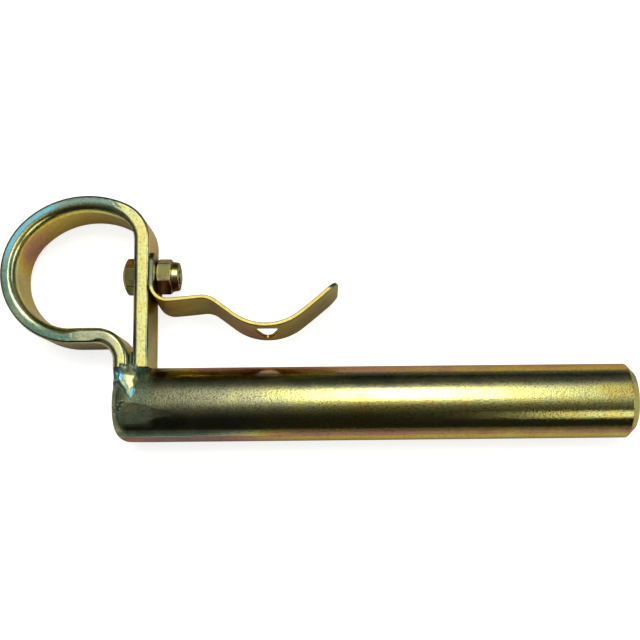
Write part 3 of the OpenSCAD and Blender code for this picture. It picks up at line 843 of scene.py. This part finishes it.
def hex_lock_nut():
    """Lock nut: a chamfered hexagon, a round collar with its lip rolled in over the insert, and
    the bore, as one profile carried all the way round."""
    start, end = NUT_LOW[0], NUT_HIGH[0]
    height = end - start
    hex_end = start + NUT_HEX * height
    lip_x = start + NUT_LIP * height
    insert_x = lip_x - NUT_INSERT * height
    corner_r = HEX_AF / 2 / math.cos(math.pi / 6)
    chamfer = (corner_r - HEX_LAND_R) * math.tan(math.radians(30))
    profile = outline([
        (start, BOLT_R + 0.5, 0), (start, HEX_LAND_R, 0.1), (start + chamfer, corner_r, 0.3),
        (hex_end - chamfer, corner_r, 0.3), (hex_end, HEX_LAND_R, 0.1), (hex_end, COLLAR_R, 0.25),
        (end, COLLAR_R - 0.45, COLLAR_ROUND), (end, BOLT_R + 0.8, 0.3), (lip_x, BOLT_R + 0.8, 0.1),
        (lip_x, COLLAR_R - 1, 0.1), (insert_x, COLLAR_R - 1, 0.1), (insert_x, BOLT_R, 0.1),
        (start + 0.5, BOLT_R, 0.1), (start, BOLT_R + 0.5, 0)], spacing=0.35)

    def finish(p, blank):
        """Painted light and shade by side: straw on the lit facets, pink on its lower side as painted
        shade, and olive on top as painted shade.
        """
        # lit is painted light on the middle facets; below them a painted shade of pink, and above them
        # one of olive
        lit = smooth((p[:, 1] - BOLT_Y + 3) / 1.5)
        above = smooth((p[:, 1] - BOLT_Y - 3) / 1)
        return 0.92 - 0.34 * lit - 0.1 * above + 0.05 * waves(p, 5, 12), 0 * lit

    shape = Shape()
    shape.add(turned(profile, 360, BOLT_Y, hexagon(NUT_TURN)), wrap=True)
    return shape.build("hex_lock_nut", FASTENER, finish, sharp=25)


def nylon_ring():
    """The insert: a ring whose bore has taken the bolt's thread."""
    low, high = INSERT_LOW[0], INSERT_HIGH[0]
    outer = INSERT_HIGH[2]
    profile = outline([(low, BOLT_R + 0.3, 0), (low, outer, 0.15), (high, outer, 0.15),
                       (high, BOLT_R, 0.3), (low, BOLT_R, 0.1), (low, BOLT_R + 0.3, 0)], spacing=0.2)

    def bore(x, r, turn):
        """The bore's radius, less a ridge that follows the thread's helix."""
        ridge = 0.12 * (1 + np.sin(2 * math.pi * x / THREAD_PITCH - turn))
        return np.where(r < BOLT_R + 0.05, r - ridge, r)

    shape = Shape()
    shape.add(turned(profile, 180, BOLT_Y, bore), wrap=True)
    return shape.build("nylon_ring", NYLON)


def place(piece, body, node, slot):
    """A piece stands for its CAD node, whose part is hidden, and rides on that node's body. slot is not
    used.
    """
    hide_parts(node)
    if body:
        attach(piece, body)


place(pin_shank(), "pin", "shank", "shank")
place(loop_handle(), "pin", "handle_bar", "bar")
place(weld(), "pin", "weld_bead", "weld")
place(hex_bolt(), "pin", "clip_bolt", "fastener")
place(hex_lock_nut(), "pin", "lock_nut", "fastener")
place(nylon_ring(), "pin", "nylon_insert", "insert")
leaf = leaf_spring()
place(leaf, None, "spring_leaf", "leaf")
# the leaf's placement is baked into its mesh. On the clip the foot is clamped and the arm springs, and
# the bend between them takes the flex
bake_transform(leaf)


# ---------------------------------------------------------------- stage, light and camera, in metres

FLOOR_Z = cad_bounds[0][2]
FLOOR_MIDDLE = (0.06, 0.02)      # under the part's middle
FLOOR_SIZE = 3.0
CARD_END, CARD_FADE = 0.070, 0.03        # behind the origin, where the card gives way to cloth
SHADE_START, SHADE_END = -0.045, -0.16   # in front of it, where a painted shade darkens the card
# how dark the painted shade in front gets
SHADE = 0.8
CARD_GLOW, CLOTH_GLOW = 0.80, 1.02       # what the lamps leave short of white on each
GLOW_IN_REFLECTIONS = 0.08               # the share of it that the part's metal mirrors
TENT_R = 2.2
TENT_GLOW = 0.014


def lay_floor(material):
    """A square floor with its middle under the part."""
    corners = np.array([[-1, -1, 0], [1, -1, 0], [1, 1, 0], [-1, 1, 0]]) * FLOOR_SIZE / 2
    mesh = bpy.data.meshes.new("floor")
    mesh.from_pydata(corners + (*FLOOR_MIDDLE, FLOOR_Z), [], [(0, 1, 2, 3)])
    plane = bpy.data.objects.new("floor", mesh)
    bpy.context.scene.collection.objects.link(plane)
    mesh.materials.append(material)


def seen_directly(tree, glossy_share):
    """1 to the camera and through glass, and a share of it in reflections."""
    path = add_node(tree, "LightPath").outputs
    clear = add_node(tree, "Math", {0: path["Is Camera Ray"], 1: path["Is Transmission Ray"]},
                     operation="ADD")
    return add_node(tree, "Math", {0: path["Is Glossy Ray"], 1: glossy_share, 2: clear.outputs[0]},
                    operation="MULTIPLY_ADD").outputs["Value"]


def white_card():
    """A pale card under the pin. Behind the pin it ends in dark cloth, and in front it is
    darkened into a painted shade. What the lamps leave short of white is made up where it
    is seen, so the object's shadow stays on it."""
    material = bpy.data.materials.new("white_card")
    material.use_nodes = True
    tree = material.node_tree
    tree.nodes.clear()
    place_on = add_node(tree, "TexCoord").outputs["Object"]
    behind = add_node(tree, "SeparateXYZ", {"Vector": place_on}).outputs["Y"]
    ends = add_node(tree, "MapRange", {"Value": behind, "From Min": CARD_END,
                                       "From Max": CARD_END + CARD_FADE})
    painted_shade = add_node(tree, "MapRange", {"Value": behind, "From Min": SHADE_START,
                                        "From Max": SHADE_END, "To Max": SHADE})
    # cloth is the dark cloth behind the card, and the painted shade in front of it
    cloth = add_node(tree, "Math", {0: ends.outputs["Result"], 1: painted_shade.outputs["Result"]},
                     operation="MAXIMUM").outputs["Value"]
    card = add_node(tree, "MixRGB", {"Fac": cloth, "Color1": colour("#BFBDBA"),
                                     "Color2": colour("#1C1B1A")})
    card = add_node(tree, "BsdfDiffuse", {"Color": card.outputs["Color"]})
    missing = add_node(tree, "MapRange", {"Value": cloth, "To Min": CARD_GLOW, "To Max": CLOTH_GLOW})
    strength = add_node(tree, "Math", {0: seen_directly(tree, GLOW_IN_REFLECTIONS),
                                       1: missing.outputs["Result"]}, operation="MULTIPLY")
    glow = add_node(tree, "Emission", {"Color": colour("#FFFFFF"), "Strength": strength.outputs[0]})
    both = add_node(tree, "AddShader")
    tree.links.new(card.outputs[0], both.inputs[0])
    tree.links.new(glow.outputs[0], both.inputs[1])
    output = add_node(tree, "OutputMaterial")
    tree.links.new(both.outputs[0], output.inputs["Surface"])
    return material


def dark_tent():
    """The tent round the set, as a dome that the camera looks through: dark cloth with one
    large translucent window over the pin. The window is brightest in its middle, where the lamp
    behind it shows, and fades out to all sides, so the pin's highlight has soft ends. Distances
    on the dome are shares of its radius."""
    turn = np.linspace(0, 2 * math.pi, 64, endpoint=False)[None, :]
    rise = np.linspace(-0.05, math.pi / 2, 24)[:, None]
    points = TENT_R * np.stack([np.cos(rise) * np.cos(turn), np.cos(rise) * np.sin(turn),
                                np.sin(rise) + 0 * turn], -1)
    shape = Shape()
    shape.add(points / MM, wrap=True, inside_out=True)
    material = bpy.data.materials.new("tent_cloth")
    material.use_nodes = True
    tree = material.node_tree
    tree.nodes.clear()
    place_on = add_node(tree, "TexCoord").outputs["Object"]

    def away(direction, offset):
        """Distance from a plane that faces a direction, at an offset from the dome's middle."""
        towards = tuple(v / TENT_R for v in direction)
        dot = add_node(tree, "VectorMath", {0: place_on, 1: towards}, operation="DOT_PRODUCT")
        shifted = add_node(tree, "Math", {0: dot.outputs["Value"], 1: offset}, operation="SUBTRACT")
        return add_node(tree, "Math", {0: shifted.outputs["Value"]},
                        operation="ABSOLUTE").outputs["Value"]

    def fade(distance, inner, outer):
        """1 up to the inner distance, smoothly down to 0 at the outer one."""
        return add_node(tree, "MapRange", {"Value": distance, "From Min": inner, "From Max": outer,
                                           "To Min": 1.0, "To Max": 0.0},
                        interpolation_type="SMOOTHSTEP").outputs["Result"]

    def glow(along, across, strength):
        """Brightness of a patch of the window, from its fades along the pin and across it."""
        both = add_node(tree, "Math", {0: fade(x_away, *along), 1: fade(y_away, *across)},
                        operation="MULTIPLY")
        return add_node(tree, "Math", {0: both.outputs["Value"], 1: strength}, operation="MULTIPLY")

    # the window leans back by lean, slants across the pin by slant, and has its middle at middle_x
    lean, slant, middle_x = math.radians(23), -0.12, 0.13
    x_away = away((1, 0, 0), middle_x)
    y_away = away((slant, math.cos(lean), -math.sin(lean)), slant * middle_x)
    window = glow((0.12, 0.32), (0.16, 0.62), 1.1)
    lamp = glow((0.02, 0.11), (0.18, 0.37), 6.0)
    cloth = glow((0.6, 1.2), (0.35, 0.95), 0.2)
    total = add_node(tree, "Math", {0: window.outputs[0], 1: lamp.outputs[0]}, operation="ADD")
    total = add_node(tree, "Math", {0: total.outputs[0], 1: cloth.outputs[0]}, operation="ADD")
    total = add_node(tree, "Math", {0: total.outputs[0], 1: TENT_GLOW}, operation="ADD")
    light = add_node(tree, "Emission", {"Color": colour("#FFFCF3"), "Strength": total.outputs[0]})
    output = add_node(tree, "OutputMaterial")
    tree.links.new(light.outputs[0], output.inputs["Surface"])
    tent = shape.build("dark_tent", material)
    tent.visible_camera = False
    tent.visible_shadow = False


def softbox(name, place, aim, width, height, radiance, tint="#FFFFFF"):
    """A rectangular lamp at a place, aimed at a point, with a given brightness of its face."""
    lamp = bpy.data.lights.new(name, "AREA")
    lamp.shape = "RECTANGLE"
    lamp.size, lamp.size_y = width, height
    lamp.energy = radiance * math.pi * width * height
    lamp.color = colour(tint)[:3]
    box = bpy.data.objects.new(name, lamp)
    box.location = place
    box.rotation_euler = (Vector(aim) - Vector(place)).to_track_quat("-Z", "Y").to_euler()
    box.visible_camera = False
    bpy.context.scene.collection.objects.link(box)
    return box


lay_floor(white_card())
dark_tent()
softbox("strip_light", place=(0.68, -0.72, 0.695), aim=(0.68, 0, 0), width=0.62, height=0.36,
        radiance=1.25, tint="#FFFBEC")
fill = softbox("fill_light", place=(-0.1, 0.35, 1.1), aim=(0, 0, 0), width=0.7, height=0.5,
               radiance=7.5)
fill.visible_glossy = False      # it lights the card and the pitted edges, and isn't mirrored
softbox("side_light", place=(0.95, 0.05, 0.62), aim=(0, 0.05, 0), width=0.8, height=0.22,
        radiance=2.5)

world = bpy.data.worlds.new("studio")
bpy.context.scene.world = world
world.use_nodes = True
sky = world.node_tree.nodes["Background"]
sky.inputs["Color"].default_value = (1, 1, 1, 1)
world.node_tree.links.new(seen_directly(world.node_tree, 1.0), sky.inputs["Strength"])

# the camera looks almost straight down on the pin, from a little in front of it
camera_data = bpy.data.cameras.new("camera")
camera_data.lens = 58.8
camera_data.sensor_width = 36
camera_data.clip_start = 0.01
camera = bpy.data.objects.new("camera", camera_data)
camera.location = (0.06415, -0.02406, 0.4049)
camera.rotation_euler = (0.139, -0.001, -0.010)
bpy.context.scene.collection.objects.link(camera)
bpy.context.scene.camera = camera
bpy.context.scene.view_settings.view_transform = "Standard"
